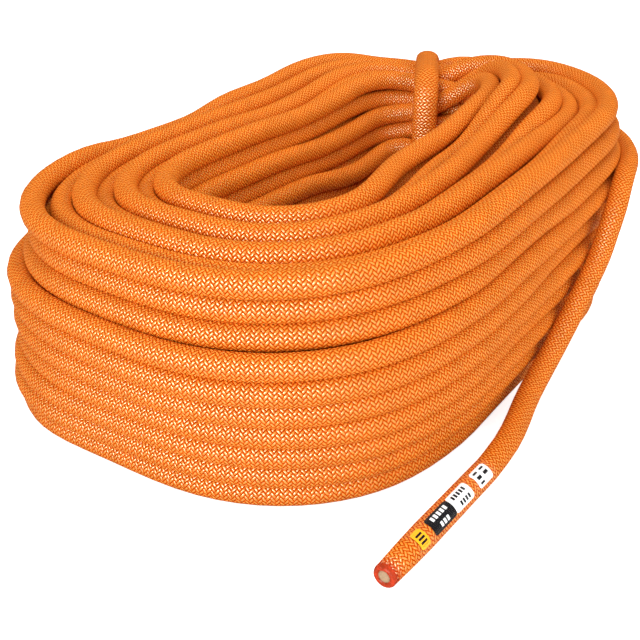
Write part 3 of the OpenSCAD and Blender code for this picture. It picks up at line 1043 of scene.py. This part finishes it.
class ROPE_OT_stage(bpy.types.Operator):
    """Camera, soft light and a pale floor"""
    bl_idname = "rope.stage"
    bl_label = "Stage"

    def execute(self, context):
        stage = context.scene.rope_stage
        middle = coil_middle()
        camera_data = bpy.data.cameras.new("camera")
        camera_data.lens = stage.lens
        camera_data.sensor_width = 36.0
        camera_data.clip_start = 0.01
        camera = bpy.data.objects.new("camera", camera_data)
        context.scene.collection.objects.link(camera)
        camera.location = Vector(middle) + Vector(stage.camera_at)
        level = math.cos(stage.dip)
        look = Vector((level * math.cos(stage.heading), level * math.sin(stage.heading),
                       -math.sin(stage.dip)))
        camera.rotation_euler = look.to_track_quat("-Z", "Y").to_euler()
        context.scene.camera = camera
        self.lights(context, Vector(middle))
        self.floor(stage)
        context.scene.view_settings.view_transform = "Standard"
        return {"FINISHED"}

    def lights(self, context, middle):
        """Soft boxes from the left, overhead and the side of the free stretch, and a lit room."""
        aim = middle + Vector((0, 0, 0.05))
        for name, place, width, height, watts, shines in LAMPS:
            data = bpy.data.lights.new(name, "AREA")
            data.shape = "RECTANGLE"
            data.size = width
            data.size_y = height
            data.energy = watts
            lamp = bpy.data.objects.new(name, data)
            lamp.visible_glossy = shines
            context.scene.collection.objects.link(lamp)
            lamp.location = middle + Vector(place)
            lamp.rotation_euler = (aim - lamp.location).to_track_quat("-Z", "Y").to_euler()
        world = bpy.data.worlds.new("room")
        world.use_nodes = True
        tree = world.node_tree
        sky = tree.nodes["Background"]
        sky.inputs["Color"].default_value = (1.0, 1.0, 1.0, 1.0)
        seen, gloss = seen_share(tree)
        light = maths(tree, "MULTIPLY_ADD", gloss, -WORLD_OUT_OF_GLOSS * WORLD_LIGHT, WORLD_LIGHT)
        link(tree, maths(tree, "MULTIPLY_ADD", seen, 1.0 - WORLD_LIGHT, light),
             sky.inputs["Strength"])
        context.scene.world = world

    def floor(self, stage):
        """The floor, white to the camera, with the shadow kept."""
        clear_selection()
        bpy.ops.mesh.primitive_plane_add(size=stage.floor)
        floor = as_piece("floor")
        material, tree, shader = new_material("studio_floor")
        seen, gloss = seen_share(tree)
        link(tree, maths(tree, "MULTIPLY_ADD", gloss, -FLOOR_OUT_OF_GLOSS, FLOOR_GREY),
             shader.inputs["Base Color"])
        shader.inputs["Roughness"].default_value = 0.9
        shader.inputs["Specular IOR Level"].default_value = 0.1
        shader.inputs["Emission Color"].default_value = (1.0, 1.0, 1.0, 1.0)
        link(tree, maths(tree, "MULTIPLY", seen, FLOOR_GLOW), shader.inputs["Emission Strength"])
        floor.data.materials.append(material)


class ROPE_OT_rope(bpy.types.Operator):
    """The rope itself: its turns, the binding turn and the free stretch, as one tube"""
    bl_idname = "rope.rope"
    bl_label = "Rope"

    def execute(self, context):
        rope = context.scene.rope_rope
        centres, walked = ring_centres(rope_line(rope))
        taper = ease((walked - walked[-1] + END_TAPER) / END_TAPER)
        radii = rope.diameter / 2 + (END_RADIUS - rope.diameter / 2) * taper
        made = tube_mesh("rope", centres, walked, radii)
        made.data.materials.append(braid_material(rope, context.scene.rope_ends, walked[-1]))
        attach(made, "root")
        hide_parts("rope_coil", "binding_turn", "free_stretch", "end_sheath")
        with_it = [bpy.data.objects[name] for name in ON_THE_END]
        with_it += [node for node in bpy.data.objects if node.name.startswith("core_strand_")]
        return {"FINISHED"}


class ROPE_OT_cut_end(bpy.types.Operator):
    """The sealed end: the melted rim of the sheath and the core in it"""
    bl_idname = "rope.cut_end"
    bl_label = "Cut end"

    def execute(self, context):
        ends = context.scene.rope_ends
        for piece, material, node, slot in (
                (melted_rim(ends), melted_material(ends), "melted_cap", "melted_end"),
                (core_face(ends), core_material(ends), "core_end", "core")):
            piece.data.materials.append(material)
            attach(piece, "root")
            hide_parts(node)
        return {"FINISHED"}


class ROPE_OT_labels(bpy.types.Operator):
    """The four labels under the clear sleeve"""
    bl_idname = "rope.labels"
    bl_label = "Labels"

    def execute(self, context):
        rope, ends = context.scene.rope_rope, context.scene.rope_ends
        white, black, yellow = ends.white, ends.black, ends.yellow
        # Start and length along the end, colours, columns and rows of bars, and share printed.
        for node, start, length, paper, ink, columns, rows, share in (
                ("length_label", -0.090, 0.011, white, black, 2, 3, 0.95),
                ("standards_label", -0.106, 0.014, white, black, 7, 2, 0.95),
                ("dark_label", -0.120, 0.016, black, white, 7, 2, 0.80),
                ("year_label", -0.140, 0.006, yellow, black, 1, 5, 0.90)):
            label = wrapped_label(node + "_film", start, length, rope, ends)
            label.data.materials.append(label_material(node, paper, ink, columns, rows, share))
            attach(label, "root")
            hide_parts(node)
        return {"FINISHED"}


class ROPE_OT_finishes(bpy.types.Operator):
    """Finishes of the parts that keep their CAD shape"""
    bl_idname = "rope.finishes"
    bl_label = "Finishes"

    def execute(self, context):
        ends = context.scene.rope_ends
        made = {"core": core_material(ends), "marker": tape_material(),
                "clear_film": film_material()}
        for part in frame["record"]["subparts"]:
            material = made.get(part["material_slot"])
            if material is not None:
                for slot in bpy.data.objects[part["node"]].material_slots:
                    slot.material = material
        return {"FINISHED"}


class ROPE_PT_panel(bpy.types.Panel):
    """Lists the steps that make the rope"""
    bl_idname = "ROPE_PT_panel"
    bl_label = "Rope"
    bl_space_type = "VIEW_3D"
    bl_region_type = "UI"
    bl_category = "Rope"

    def draw(self, context):
        for operator in OPERATORS:
            self.layout.operator(operator.bl_idname)


OPERATORS = (ROPE_OT_stage, ROPE_OT_labels, ROPE_OT_cut_end, ROPE_OT_rope, ROPE_OT_finishes)
SETTINGS = {"rope_rope": RopeSettings, "rope_ends": EndSettings, "rope_stage": StageSettings}


def register():
    for settings in SETTINGS.values():
        bpy.utils.register_class(settings)
    for name, settings in SETTINGS.items():
        setattr(bpy.types.Scene, name, bpy.props.PointerProperty(type=settings))
    for operator in (*OPERATORS, ROPE_PT_panel):
        bpy.utils.register_class(operator)


def unregister():
    for operator in (ROPE_PT_panel, *reversed(OPERATORS)):
        bpy.utils.unregister_class(operator)
    for name in SETTINGS:
        delattr(bpy.types.Scene, name)
    for settings in SETTINGS.values():
        bpy.utils.unregister_class(settings)


def main():
    register()
    bpy.ops.rope.stage()
    bpy.ops.rope.labels()
    bpy.ops.rope.cut_end()
    bpy.ops.rope.rope()
    bpy.ops.rope.finishes()


if __name__ == "__main__":
    main()
